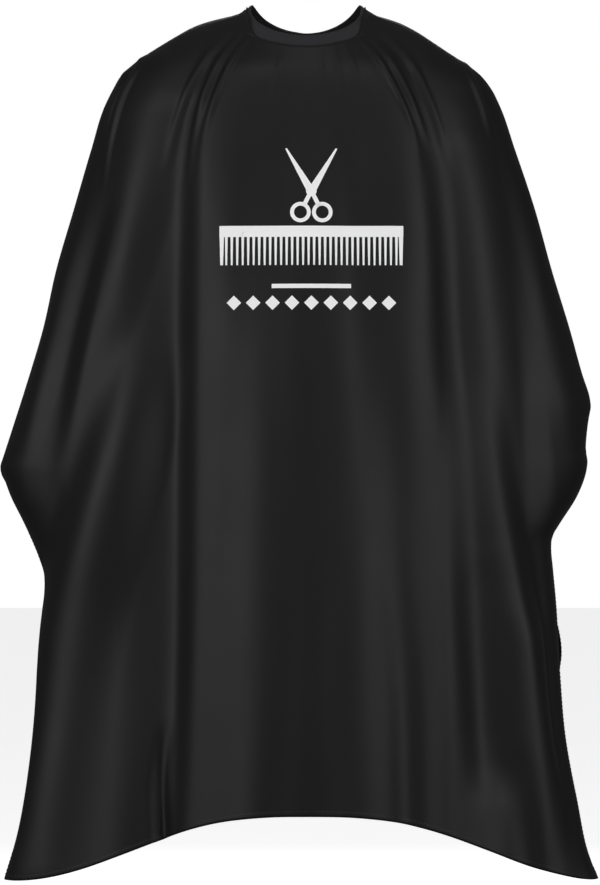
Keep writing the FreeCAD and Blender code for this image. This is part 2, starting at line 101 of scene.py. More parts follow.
def flowing(at: np.ndarray | float, stations: tuple[tuple[float, ...], ...], column: int = 1) -> np.ndarray:
    """A smooth curve through stations.

    Args:
        at: where the curve is read.
        stations: rows whose first number is the place and whose others are values.
        column: which value is read.

    Returns:
        The curve's value at each place, level beyond the first and last station.
    """
    knots = np.array([row[0] for row in stations], float)
    values = np.array([row[column] for row in stations], float)
    slopes = np.gradient(values, knots)
    at = np.clip(np.asarray(at, float), knots[0], knots[-1])
    low = np.clip(np.searchsorted(knots, at, side="right") - 1, 0, len(knots) - 2)
    span = knots[low + 1] - knots[low]
    t = (at - knots[low]) / span
    rise = (2 * t**3 - 3 * t**2 + 1) * values[low] + (3 * t**2 - 2 * t**3) * values[low + 1]
    return rise + span * ((t**3 - 2 * t**2 + t) * slopes[low] + (t**3 - t**2) * slopes[low + 1])


# ---------------------------------------------------------------- finishes


def linear(code: str) -> tuple[float, float, float, float]:
    """An sRGB hex colour as the linear colour that a shader takes."""
    parts = [int(code[i : i + 2], 16) / 255 for i in (1, 3, 5)]
    red, green, blue = (c / 12.92 if c <= 0.04045 else ((c + 0.055) / 1.055) ** 2.4 for c in parts)
    return red, green, blue, 1.0


def add_node(tree: bpy.types.NodeTree, kind: str, links: dict | None = None, **settings) -> bpy.types.Node:
    """Adds a shader node.

    Args:
        tree: the material's node tree.
        kind: the node's type, such as ShaderNodeTexNoise.
        links: for each input's name or number, the output socket or value that it takes.
        settings: the node's own properties.

    Returns:
        The new node.
    """
    node = tree.nodes.new(kind)
    for name, value in settings.items():
        setattr(node, name, value)
    for socket, source in (links or {}).items():
        if isinstance(source, bpy.types.NodeSocket):
            tree.links.new(source, node.inputs[socket])
        else:
            node.inputs[socket].default_value = source
    return node


def found(tree: bpy.types.NodeTree, kind: str) -> bpy.types.Node:
    """The node of a type that a new tree already has."""
    return next(node for node in tree.nodes if node.type == kind)


def set_inputs(node: bpy.types.Node, values: dict) -> None:
    """Sets a node's inputs by their names."""
    for name, value in values.items():
        node.inputs[name].default_value = value


class Weave(Enum):
    """How a surface is made, which decides its pattern."""

    SATIN = "satin"
    TWILL = "twill"
    PLAIN = "plain"
    FELT = "felt"
    PLATED = "plated"
    FILM = "film"


@dataclass(frozen=True)
class Finish:
    """A surface: its colours, gloss and pattern."""

    name: str
    slot: str
    dark: str
    light: str
    weave: Weave
    pitch_mm: float
    roughness: float
    rough_spread: float = 0.06
    bump_mm: float = 0.05
    metallic: float = 0.0
    ior: float = 1.5
    sheen: float = 0.0
    specular: float = 0.5

    def pattern(self, tree: bpy.types.NodeTree, place: bpy.types.NodeSocket) -> bpy.types.NodeSocket:
        """The pattern's height, from 0 to 1.

        Args:
            tree: the material's node tree.
            place: the coordinates that the pattern lies on.

        Returns:
            The socket that gives the height.
        """
        per_metre = 1.0 / (self.pitch_mm * MM)
        if self.weave in (Weave.FELT, Weave.PLATED, Weave.FILM):
            grain = add_node(tree, "ShaderNodeTexNoise", {"Vector": place, "Scale": per_metre, "Detail": 6.0})
            return grain.outputs["Fac"]
        direction = "DIAGONAL" if self.weave is Weave.TWILL else "X"
        # a wave's bands repeat every 2 pi / 20 of its scaled coordinate
        scale = per_metre * math.pi / 10
        warp, weft = (
            add_node(
                tree,
                "ShaderNodeTexWave",
                {"Vector": place, "Scale": size, "Distortion": wander, "Detail": 1.0},
                bands_direction=way,
            )
            for size, wander, way in ((scale, 0.4, direction), (scale / 2, 0.6, "Z"))
        )
        crossing = {0: warp.outputs["Fac"], 1: weft.outputs["Fac"]}
        return add_node(tree, "ShaderNodeMath", crossing, operation="MULTIPLY").outputs["Value"]

    def material(self) -> bpy.types.Material:
        """The finish as a node material, made once."""
        known = bpy.data.materials.get(self.name)
        if known:
            return known
        made = bpy.data.materials.new(self.name)
        made.use_nodes = True
        tree = made.node_tree
        shader = found(tree, "BSDF_PRINCIPLED")
        plain = {"Metallic": self.metallic, "IOR": self.ior, "Sheen Weight": self.sheen}
        plain |= {"Sheen Roughness": 0.45, "Specular IOR Level": self.specular}
        set_inputs(shader, plain)
        place = add_node(tree, "ShaderNodeTexCoord").outputs["Object"]
        height = self.pattern(tree, place)
        # dye and wear change slowly, over some centimetres
        cloud = add_node(tree, "ShaderNodeTexNoise", {"Vector": place, "Scale": 14.0, "Detail": 4.0}).outputs["Fac"]
        low, high = self.roughness - self.rough_spread, self.roughness + self.rough_spread
        gloss = add_node(tree, "ShaderNodeMapRange", {"Value": cloud, "To Min": low, "To Max": high})
        relief = {"Height": height, "Strength": 0.5, "Distance": self.bump_mm * MM}
        bump = add_node(tree, "ShaderNodeBump", relief)
        tree.links.new(self.mixed_colour(tree, height, cloud), shader.inputs["Base Color"])
        tree.links.new(gloss.outputs["Result"], shader.inputs["Roughness"])
        tree.links.new(bump.outputs["Normal"], shader.inputs["Normal"])
        return made

    def mixed_colour(
        self, tree: bpy.types.NodeTree, height: bpy.types.NodeSocket, cloud: bpy.types.NodeSocket
    ) -> bpy.types.NodeSocket:
        """The colour between dark and light, by the pattern's height and slow changes."""
        woven = add_node(tree, "ShaderNodeMath", {0: height, 1: 0.4, 2: 0.1}, operation="MULTIPLY_ADD")
        both = {0: cloud, 1: 0.5, 2: woven.outputs["Value"]}
        share = add_node(tree, "ShaderNodeMath", both, operation="MULTIPLY_ADD", use_clamp=True)
        ramp = add_node(tree, "ShaderNodeValToRGB", {"Fac": share.outputs["Value"]})
        for element, code in zip(ramp.color_ramp.elements, (self.dark, self.light)):
            element.color = linear(code)
        return ramp.outputs["Color"]

    def dress(self, piece: bpy.types.Object) -> bpy.types.Object:
        """Gives a piece this finish."""
        piece.data.materials.clear()
        piece.data.materials.append(self.material())
        return piece

    def dress_node(self, name: str) -> None:
        """Gives a node of the frame this finish."""
        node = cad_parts[name]
        for slot in node.material_slots:
            slot.material = self.material()


# Black polyester satin: long floats give a soft, broad sheen. Threads lie 0.3 mm apart and are drawn coarser.
SATIN = Finish(
    "polyester_satin", "cape_cloth", "#060608", "#0c0c0f", Weave.SATIN, 1.2, 0.57, 0.03, 0.05,
    sheen=0.03, specular=0.32,
)
# Twill tape, brushed: matte, a little lighter than the satin.
TWILL = Finish(
    "brushed_twill", "band_cloth", "#151418", "#1e1d22", Weave.TWILL, 1.4, 0.78, 0.06, 0.10, sheen=0.06
)
# Plain polyester that lies on the skin: flat and a little glossy.
LINING = Finish("plain_polyester", "band_lining", "#17171a", "#222226", Weave.PLAIN, 1.0, 0.55, 0.05, 0.05)
# Pressed fibres, off-white and quite rough.
INTERLINING = Finish(
    "pressed_interlining", "stiffener", "#c4c2bb", "#dedcd6", Weave.FELT, 0.8, 0.9, 0.05, 0.08
)
# Nickel plate on drawn brass: warm grey mirror with fine scuffs.
NICKEL = Finish(
    "nickel_plate", "snap_metal", "#b9b4a8", "#d2cec4", Weave.PLATED, 0.5, 0.24, 0.08, 0.01, metallic=1.0
)
# Woven satin tape, white, with a close rib.
TAPE = Finish("satin_tape", "label_cloth", "#dcdcd6", "#f0f0ec", Weave.PLAIN, 0.6, 0.45, 0.05, 0.04, sheen=0.2)
# Heat-pressed vinyl film: white with a faint pebble from the press cloth.
FILM = Finish("pressed_vinyl_film", "print_film", "#fbfbfb", "#ffffff", Weave.FILM, 0.9, 0.5, 0.05, 0.02)
# Polyester sewing thread, black, with a dull shine.
THREAD = Finish("polyester_thread", "cape_cloth", "#1c1c1f", "#2a2a2e", Weave.TWILL, 0.5, 0.5, 0.05, 0.05)


# ---------------------------------------------------------------- making meshes


def deselect() -> None:
    """Leaves edit mode and selects nothing."""
    if bpy.context.object and bpy.context.object.mode != "OBJECT":
        bpy.ops.object.mode_set(mode="OBJECT")
    bpy.ops.object.select_all(action="DESELECT")


def choose(piece: bpy.types.Object) -> None:
    """Makes a piece the only one that operators act on."""
    deselect()
    piece.select_set(True)
    bpy.context.view_layer.objects.active = piece


def finish_modifier(piece: bpy.types.Object, kind: str, **settings) -> None:
    """Adds a modifier to a piece, sets it and applies it."""
    choose(piece)
    modifier = piece.modifiers.new(kind.lower(), kind)
    for name, value in settings.items():
        setattr(modifier, name, value)
    bpy.ops.object.modifier_apply(modifier=modifier.name)


def edit_whole(piece: bpy.types.Object, operator: str, **settings) -> None:
    """Runs a mesh operator on the whole of a piece."""
    choose(piece)
    bpy.ops.object.mode_set(mode="EDIT")
    bpy.ops.mesh.select_all(action="SELECT")
    getattr(bpy.ops.mesh, operator)(**settings)
    bpy.ops.object.mode_set(mode="OBJECT")


def joined(name: str, parts: list[bpy.types.Object]) -> bpy.types.Object:
    """Several pieces as one."""
    choose(parts[0])
    for part in parts[1:]:
        part.select_set(True)
    bpy.ops.object.join()
    parts[0].name = name
    return parts[0]


def placed(name: str, data: bpy.types.ID) -> bpy.types.Object:
    """New data as an object of the scene."""
    made = bpy.data.objects.new(name, data)
    bpy.context.scene.collection.objects.link(made)
    return made


def cloth_from(name: str, grid: np.ndarray) -> bpy.types.Object:
    """A sheet from a grid of points.

    Args:
        name: the piece's name.
        grid: points in rows and columns, of shape (rows, columns, 3).

    Returns:
        The sheet as a mesh object with a UV map that follows its rows and columns.
    """
    rows, columns, _ = grid.shape
    mesh = bpy.data.meshes.new(name)
    shape = bmesh.new()
    corners = [[shape.verts.new(point) for point in row] for row in grid]
    uv = shape.loops.layers.uv.new("cloth")
    for r in range(rows - 1):
        for c in range(columns - 1):
            places = ((r, c), (r, c + 1), (r + 1, c + 1), (r + 1, c))
            face = shape.faces.new([corners[i][j] for i, j in places])
            face.smooth = True
            for loop, (i, j) in zip(face.loops, places):
                loop[uv].uv = (j / (columns - 1), 1 - i / (rows - 1))
    shape.to_mesh(mesh)
    shape.free()
    return placed(name, mesh)


def grid_normals(grid: np.ndarray) -> np.ndarray:
    """The unit normals of a grid of points, to the side that its faces look to."""
    along = np.gradient(grid, axis=1)
    down = np.gradient(grid, axis=0)
    normal = np.cross(down, along)
    size = np.linalg.norm(normal, axis=2, keepdims=True)
    return normal / np.maximum(size, TINY * TINY)


# Places along a stitch, as shares of its length, and how plump its thread is there.
SWELL = ((-0.5, 0.35), (-0.3, 0.9), (0.0, 1.0), (0.3, 0.9), (0.5, 0.35))


@dataclass(frozen=True)
class Stitch:
    """A lockstitch that shows as short, plump lengths of thread."""

    pitch: float
    length: float
    thread: float
    sides: int = 6
    proud: float = 0.2

    def row(self, name: str, line: np.ndarray, normals: np.ndarray) -> bpy.types.Object:
        """A row of stitches along a line.

        Args:
            name: the piece's name.
            line: the points that the row follows, of shape (count, 3).
            normals: the cloth's outward normal at each point.

        Returns:
            All stitches of the row as one mesh object.
        """
        steps = np.linalg.norm(np.diff(line, axis=0), axis=1)
        travelled = np.concatenate([[0.0], np.cumsum(steps)])
        count = max(2, int(travelled[-1] / self.pitch))
        middles = (np.arange(count) + 0.5) * travelled[-1] / count
        turns = np.linspace(0, 2 * math.pi, self.sides, endpoint=False)
        vertices, faces = [], []
        for middle in middles:
            back, at, ahead = (
                np.array([np.interp(middle + off, travelled, line[:, k]) for k in range(3)])
                for off in (-self.length / 2, 0, self.length / 2)
            )
            up = np.array([np.interp(middle, travelled, normals[:, k]) for k in range(3)])
            along = (ahead - back) / max(np.linalg.norm(ahead - back), TINY)
            across = np.cross(up, along)
            across /= max(np.linalg.norm(across), TINY)
            up = np.cross(along, across)
            first = len(vertices)
            for place, plump in SWELL:
                radius = self.thread / 2 * plump
                centre = at + along * place * self.length + up * self.thread * self.proud * plump
                vertices += [centre + (across * math.cos(t) + up * math.sin(t)) * radius for t in turns]
            starts = [first + ring * self.sides for ring in range(len(SWELL))]
            for low in starts[:-1]:
                for k in range(self.sides):
                    a, b = low + k, low + (k + 1) % self.sides
                    faces.append((a, b, b + self.sides, a + self.sides))
            faces.append(tuple(starts[0] + k for k in reversed(range(self.sides))))
            faces.append(tuple(starts[-1] + k for k in range(self.sides)))
        mesh = bpy.data.meshes.new(name)
        mesh.from_pydata([tuple(v) for v in vertices], [], faces)
        piece = placed(name, mesh)
        edit_whole(piece, "normals_make_consistent", inside=False)
        bpy.ops.object.shade_smooth()
        return THREAD.dress(piece)


# ---------------------------------------------------------------- the neckband's line


@dataclass(frozen=True)
class BandLine:
    """The ruled strip that the neckband follows round the neck. Angles are degrees from the front."""

    neck_radius: float = 66 * MM
    width: float = 24 * MM
    front_drop: float = 45 * MM
    rear_drop: float = 28 * MM
    peak: float = 105.0
    peak_blend: float = 0.12
    lean_front: float = 50.0
    lean_rear: float = 15.0
    lean_side: float = 25.0
    tab_lift: float = 5.0 * MM
    tab_ramp: float = 13 * MM

    def top_edge(self, phi: np.ndarray) -> np.ndarray:
        """Height of the band's top edge at an angle."""
        peak = math.cos(math.radians(self.peak))
        past = np.cos(np.radians(phi)) - peak
        reach = np.where(past > 0, 1 - peak, 1 + peak)
        drop = np.where(past > 0, self.front_drop, self.rear_drop)
        soft = self.peak_blend
        return -drop * (np.hypot(past, soft) - soft) / (np.hypot(reach, soft) - soft)

    def lean(self, phi: np.ndarray) -> np.ndarray:
        """How far the strip leans out from upright, in radians."""
        c = np.cos(np.radians(phi))
        even = self.lean_rear + (self.lean_front - self.lean_rear) * (1 + c) / 2
        return np.radians(even + self.lean_side * (1 - c * c))

    def point(self, side: np.ndarray, phi: np.ndarray, down: np.ndarray, lift: np.ndarray) -> np.ndarray:
        """A point of the strip.

        Args:
            side: the sign of X.
            phi: the angle from the front, in degrees.
            down: the distance from the top edge across the width.
            lift: the distance off the inner face.

        Returns:
            Points of shape (..., 3).
        """
        side, phi, down, lift = np.broadcast_arrays(side, np.asarray(phi, float), down, lift)
        turn, lean = np.radians(phi), self.lean(phi)
        out = self.neck_radius + down * np.sin(lean) + lift * np.cos(lean)
        height = self.top_edge(phi) - down * np.cos(lean) + lift * np.sin(lean)
        return np.stack([side * np.sin(turn) * out, -np.cos(turn) * out, height], axis=-1)

    def behind(self, distance: float) -> float:
        """The angle at a distance along the band's middle from the back centre."""
        middle = self.neck_radius + self.width * math.sin(float(self.lean(180.0))) / 2
        return 180 - math.degrees(distance / middle)

    def tab_rise(self, phi: np.ndarray) -> np.ndarray:
        """How far the tab has climbed at an angle past the back centre."""
        return self.tab_lift * smoothstep((180 - phi) / (180 - self.behind(self.tab_ramp)))


BAND = BandLine()
# Each layer's lift off the inner face, its thickness, and how far its long edges are trimmed.
LAYERS = {
    "lining": (0.0, 0.5 * MM, 0.0),
    "stiffener": (0.55 * MM, 0.6 * MM, 2 * MM),
    "outer": (1.2 * MM, 0.5 * MM, 0.0),
}
LAYER_FINISH = {"lining": LINING, "stiffener": INTERLINING, "outer": TWILL}


@dataclass
class NeckBand:
    """The neckband in its spans, each of three layers, with its topstitching, and the closing tab."""

    fold: float = 127.0
    half_gap: float = 0.12
    right_end: float = 8 * MM
    left_end: float = 1.5 * MM
    tab_reach: float = 50 * MM
    front_steps: int = 127
    rear_steps: int = 30
    root_steps: int = 3
    across: int = 9
    crown: float = 0.12 * MM
    edge_round: float = 0.3
    crease: float = 50.0
    stitch_inset: float = 2.2 * MM
    stitch: Stitch = Stitch(pitch=3.2 * MM, length=2.2 * MM, thread=0.42 * MM)

    def places(self, span: str) -> tuple[np.ndarray, np.ndarray, np.ndarray]:
        """The sides, angles and extra lifts along a span of the band."""
        if span == "front_band":
            ends = np.linspace(-self.fold + self.half_gap, self.fold - self.half_gap, self.front_steps)
            return np.where(ends < 0, -1.0, 1.0), np.abs(ends), np.zeros_like(ends)
        if span == "tab":
            phi = np.linspace(180.0, BAND.behind(self.tab_reach), self.rear_steps)
            root = np.linspace(BAND.behind(self.left_end), 180.0, self.root_steps + 1)[:-1]
            side = np.concatenate([np.full_like(root, 1.0), np.full_like(phi, -1.0)])
            return side, np.concatenate([root, phi]), np.concatenate([0 * root, BAND.tab_rise(phi)])
        side, end = (1.0, self.left_end) if span == "left_band" else (-1.0, self.right_end)
        phi = np.linspace(self.fold + self.half_gap, BAND.behind(end), self.rear_steps)
        return np.full_like(phi, side), phi, np.zeros_like(phi)

    def layer(self, span: str, name: str) -> bpy.types.Object:
        """One layer of a span, as a strip with its thickness and soft edges."""
        lift, thick, trim = LAYERS[name]
        side, phi, rise = self.places(span)
        # the strip's own edges are turned in, so they draw a little closer to the next layer
        down = np.linspace(trim, BAND.width - trim, self.across)
        crown = (self.crown if name == "outer" else 0) * np.sin(np.pi * (down - trim) / (BAND.width - 2 * trim))
        raised = lift + rise[:, None]
        grid = BAND.point(side[:, None], phi[:, None], down, raised + crown)
        out = BAND.point(side[:, None], phi[:, None], down, raised + MM) - grid
        if np.sum(grid_normals(grid) * out) < 0:
            grid = grid[::-1]
        piece = cloth_from(f"{span}_{name}_cloth", grid)
        finish_modifier(piece, "SOLIDIFY", thickness=thick, offset=1.0, use_even_offset=True)
        finish_modifier(piece, "BEVEL", width=thick * self.edge_round, segments=2, limit_method="ANGLE")
        choose(piece)
        bpy.ops.object.shade_smooth_by_angle(angle=math.radians(self.crease))
        return LAYER_FINISH[name].dress(piece)

    def stitches(self, span: str) -> bpy.types.Object:
        """The topstitching along both edges of a span's outer layer."""
        side, phi, rise = self.places(span)
        lift, thick, _ = LAYERS["outer"]
        top = lift + thick
        rows = []
        for down in (self.stitch_inset, BAND.width - self.stitch_inset):
            line = BAND.point(side, phi, down, top + rise)
            up = BAND.point(side, phi, down, top + rise + MM) - line
            rows.append(self.stitch.row(f"{span}_stitches_{len(rows) + 1}", line, up / MM))
        return joined(f"{span}_stitches", rows)

    def build(self) -> None:
        """Makes every span, and puts each on the body that it moves with."""
        bodies = {
            "front_band": Body.CAPE,
            "left_band": Body.LEFT_FLAP,
            "right_band": Body.RIGHT_FLAP,
            "tab": Body.TAB,
        }
        for span, body in bodies.items():
            for name in LAYERS:
                piece = self.layer(span, name)
                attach(piece, body.value)
                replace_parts(piece, f"{span}_{name}")
                LOG.info("%s on %s", piece.name, body.value)
            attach(self.stitches(span), body.value)


# ---------------------------------------------------------------- the cloth's form


@dataclass(frozen=True)
class Fold:
    """A fold that runs down the cloth.

    Its run is rows of depth, distance from the middle towards the wearer's left, and height; the height
    is negative in a valley. near and far are the distances from the crest to its foot, towards the
    wearer's right and left. All are millimetres.
    """

    run: tuple[tuple[float, float, float], ...]
    near: float
    far: float
    rise_run: float = 30.0
    fall_run: float = 60.0

    def height(self, depth: np.ndarray, x: np.ndarray) -> np.ndarray:
        """The fold's height over points of the cloth."""
        middle = flowing(depth, self.run, 1)
        tall = flowing(depth, self.run, 2)
        away = x - middle
        share = np.clip(np.abs(away) / np.where(away < 0, self.near, self.far), 0, 1)
        first, last = self.run[0][0], self.run[-1][0]
        lasts = smoothstep((depth - first) / self.rise_run + 1) * smoothstep((last - depth) / self.fall_run + 1)
        return tall * 0.5 * (1 + np.cos(np.pi * share)) * lasts


# Half width of the cape at each depth, to the wearer's left and right. Millimetres.
HALF = {
    Side.LEFT: (
        (8, 84), (18, 106), (29, 124), (58, 168), (85, 207), (103, 222), (121, 231), (175, 250), (247, 274),
        (319, 294), (391, 316), (445, 331), (474, 340), (483, 341), (494, 339), (517, 336), (535, 335), (550, 337), (558, 336),
        (589, 325), (625, 302), (638, 294), (646, 293), (679, 295), (715, 298), (800, 302), (877, 308), (949, 321),
        (1021, 337), (1051, 350),
    ),
    Side.RIGHT: (
        (8, 96), (18, 118), (29, 137), (58, 185), (85, 220), (103, 231), (121, 240), (175, 257), (247, 278),
        (319, 299), (391, 315), (445, 331), (517, 354), (545, 363), (555, 366), (564, 363), (589, 354), (625, 336), (661, 320),
        (697, 308), (712, 305), (722, 305), (751, 306), (805, 310), (913, 325), (985, 340), (1051, 360),
    ),
}
# Half width that the cloth inside the edges follows, without the corners of the wings.
EASY_HALF = (
    (8, 88), (29, 130), (58, 176), (85, 213), (121, 236), (175, 254), (247, 276), (319, 296), (400, 314),
    (500, 330), (600, 332), (720, 322), (850, 320), (950, 326), (1060, 344),
)
BACK_HALF = {
    Side.LEFT: HALF[Side.LEFT][:18] + ((589, 320), (643, 286), (700, 292), (785, 307), (815, 302)),
    Side.RIGHT: HALF[Side.RIGHT][:15] + ((589, 350), (625, 328), (715, 298), (815, 296)),
}
# Depth of the chest and of the back from the neck's middle, at each depth under the neckband. Millimetres.
CHEST = (
    (8, 56), (24, 68), (48, 80), (66, 90), (88, 101), (120, 111), (156, 117), (300, 127), (510, 136), (700, 143),
    (830, 147), (1060, 152),
)
SPINE = (
    (8, 66), (24, 70), (48, 75), (66, 78), (88, 81), (120, 86), (156, 90), (300, 99), (510, 108), (830, 114),
)
# Depth of the corner of each wing. Millimetres.
WING = {Side.LEFT: 553.0, Side.RIGHT: 556.0}

FRONT_FOLDS = (
    # the two great folds at the sides of the flat middle, and the valleys outside them
    Fold(((58, -50, 2), (100, -84, 6), (175, -106, 9), (300, -110, 8), (415, -112, 5), (655, -118, 4),
          (775, -122, 4), (1000, -126, 4)), 50, 90),
    Fold(((140, -146, -4), (300, -152, -7), (415, -154, -9), (600, -156, -10), (775, -158, -10),
          (900, -162, -9), (1010, -170, -10)), 64, 34),
    Fold(((58, 66, 3), (120, 98, 8), (211, 121, 13), (415, 134, 17), (595, 150, 12), (835, 160, 11),
          (1010, 162, 9)), 84, 50),
    Fold(((190, 170, -3), (330, 188, -7), (500, 202, -10), (700, 212, -9), (900, 218, -6)), 50, 50),
    # broad folds over the upper arms
    Fold(((80, -172, 4), (235, -199, 8), (355, -234, 9), (451, -268, 7), (560, -300, 2)), 54, 50),
    Fold(((100, 168, 3), (200, 188, 8), (330, 198, 13), (440, 204, 14), (560, 208, 9), (640, 214, 3)), 50, 72),
    # the long slanting fold down the wearer's right side
    Fold(((400, -188, 0), (499, -212, 14), (631, -250, 22), (763, -282, 21), (859, -296, 15),
          (1020, -316, 8)), 58, 70),
    # valleys and rolls at the wearer's right arm
    Fold(((230, -234, 0), (283, -248, -4), (343, -262, -7), (463, -287, -8), (560, -306, -3)), 32, 27),
    Fold(((240, -252, 1), (343, -284, 3), (475, -320, 4), (560, -346, 2)), 24, 26),
    # deep valley and bright fold at the wearer's left side
    Fold(((120, 205, -2), (211, 229, -4), (391, 247, -5), (595, 259, -8), (700, 266, -5)), 46, 38),
    Fold(((450, 196, 0), (571, 219, 8), (667, 236, 14), (763, 252, 16), (835, 261, 14), (955, 278, 9),
          (1030, 292, 5)), 72, 36),
    Fold(((650, 276, -2), (763, 288, -7), (870, 296, -6), (955, 314, -2)), 16, 17),
    Fold(((127, 236, 1), (295, 270, 2), (391, 290, 2), (470, 306, 2), (560, 326, 1)), 24, 26),
    # soft rolls across the flat middle
    Fold(((330, -40, 0), (500, -46, 2), (760, -58, 4), (1000, -66, 5)), 45, 45),
    Fold(((330, 50, 0), (520, 58, 2), (780, 70, 4), (1000, 78, 5)), 45, 45),
    Fold(((620, 96, 0), (800, 110, -3), (1010, 116, -5)), 26, 26),
    # creases that fan out from the neckband
    Fold(((34, -74, 1.5), (60, -92, 3.5), (110, -116, 4), (160, -130, 1.5), (230, -138, 0)), 6, 8),
    Fold(((38, -64, 1.5), (66, -80, 3), (110, -100, 3.5), (160, -116, 1), (220, -124, 0)), 6, 7),
    Fold(((30, -88, 1.5), (70, -116, 3), (130, -146, 3), (210, -166, 0)), 8, 9),
    Fold(((38, 56, 1.5), (66, 76, 3.5), (110, 101, 4), (160, 122, 1.5), (220, 132, 0)), 7, 6),
    Fold(((34, 68, 1.5), (70, 94, 3), (120, 120, 3.5), (180, 142, 0)), 8, 6),
    Fold(((28, 84, 1.5), (70, 118, 3), (130, 146, 3), (210, 168, 0)), 9, 8),
    Fold(((62, 16, 0.8), (84, 18, 1.0), (120, 20, 0)), 5, 5),
    Fold(((60, 33, 1.0), (80, 36, 1.2), (125, 42, 0)), 5, 6),
    Fold(((58, 47, 1.0), (80, 53, 1.2), (115, 62, 0)), 5, 6),
    Fold(((60, -24, 0.8), (84, -30, 1.0), (150, -42, 0)), 8, 8),
    # creases at the points of the shoulders
    Fold(((78, -196, 2), (110, -214, 4), (160, -230, 3), (230, -240, 0)), 7, 6),
    Fold(((92, -218, 2), (125, -230, 3), (170, -241, 0)), 5, 5),
    Fold(((84, 190, 2), (120, 206, 3), (170, 220, 0)), 7, 7),
    # small slack at the foot of the great folds
    Fold(((850, -166, 0), (910, -172, -6), (1010, -170, -12)), 13, 13),
    Fold(((860, 196, 0), (960, 206, 4), (1020, 212, 6)), 34, 34),
    Fold(((880, 246, 0), (980, 256, -5), (1040, 262, -6)), 30, 24),
)
BACK_FOLDS = (
    Fold(((70, 40, 2), (200, 58, 7), (420, 74, 11), (700, 92, 9)), 26, 30),
    Fold(((90, 64, -2), (240, 96, -8), (450, 118, -12), (720, 138, -9)), 30, 30),
    Fold(((70, 92, 3), (220, 132, 9), (430, 160, 12), (760, 186, 9)), 30, 32),
    Fold(((110, 140, -2), (260, 176, -8), (480, 206, -11), (780, 228, -8)), 26, 30),
    Fold(((80, 168, 3), (240, 218, 8), (480, 252, 9), (780, 268, 6)), 26, 28),
    Fold(((200, 10, 0), (360, 14, 4), (560, 20, 6)), 14, 22),
    Fold(((46, 52, 1.5), (90, 66, 3), (180, 84, 0)), 8, 8),
    Fold(((40, 74, 1.5), (90, 98, 3), (180, 122, 0)), 8, 9),
    Fold(((34, 96, 1.5), (80, 130, 3), (150, 160, 0)), 9, 9),
)


def slack(depth: np.ndarray, x: np.ndarray) -> np.ndarray:
    """Faint waves that cloth keeps from being folded away, in millimetres.

    Every number under a depth or a distance is a wave's run in millimetres. None is a multiple of another,
    so that the waves never line up.
    """
    fan = x * (1 + 90 / (depth + 90))
    fine = np.sin(fan / 9.5 + 1.3 * np.sin(depth / 130)) * np.sin(depth / 95 + fan / 60)
    coarse = np.sin(fan / 21 + 0.8 + 1.1 * np.sin(depth / 210 + 1))
    patches = 0.6 + 0.4 * np.sin(depth / 160 + x / 90)
    return (0.25 * fine + 0.45 * coarse * patches) * smoothstep(depth / 160)


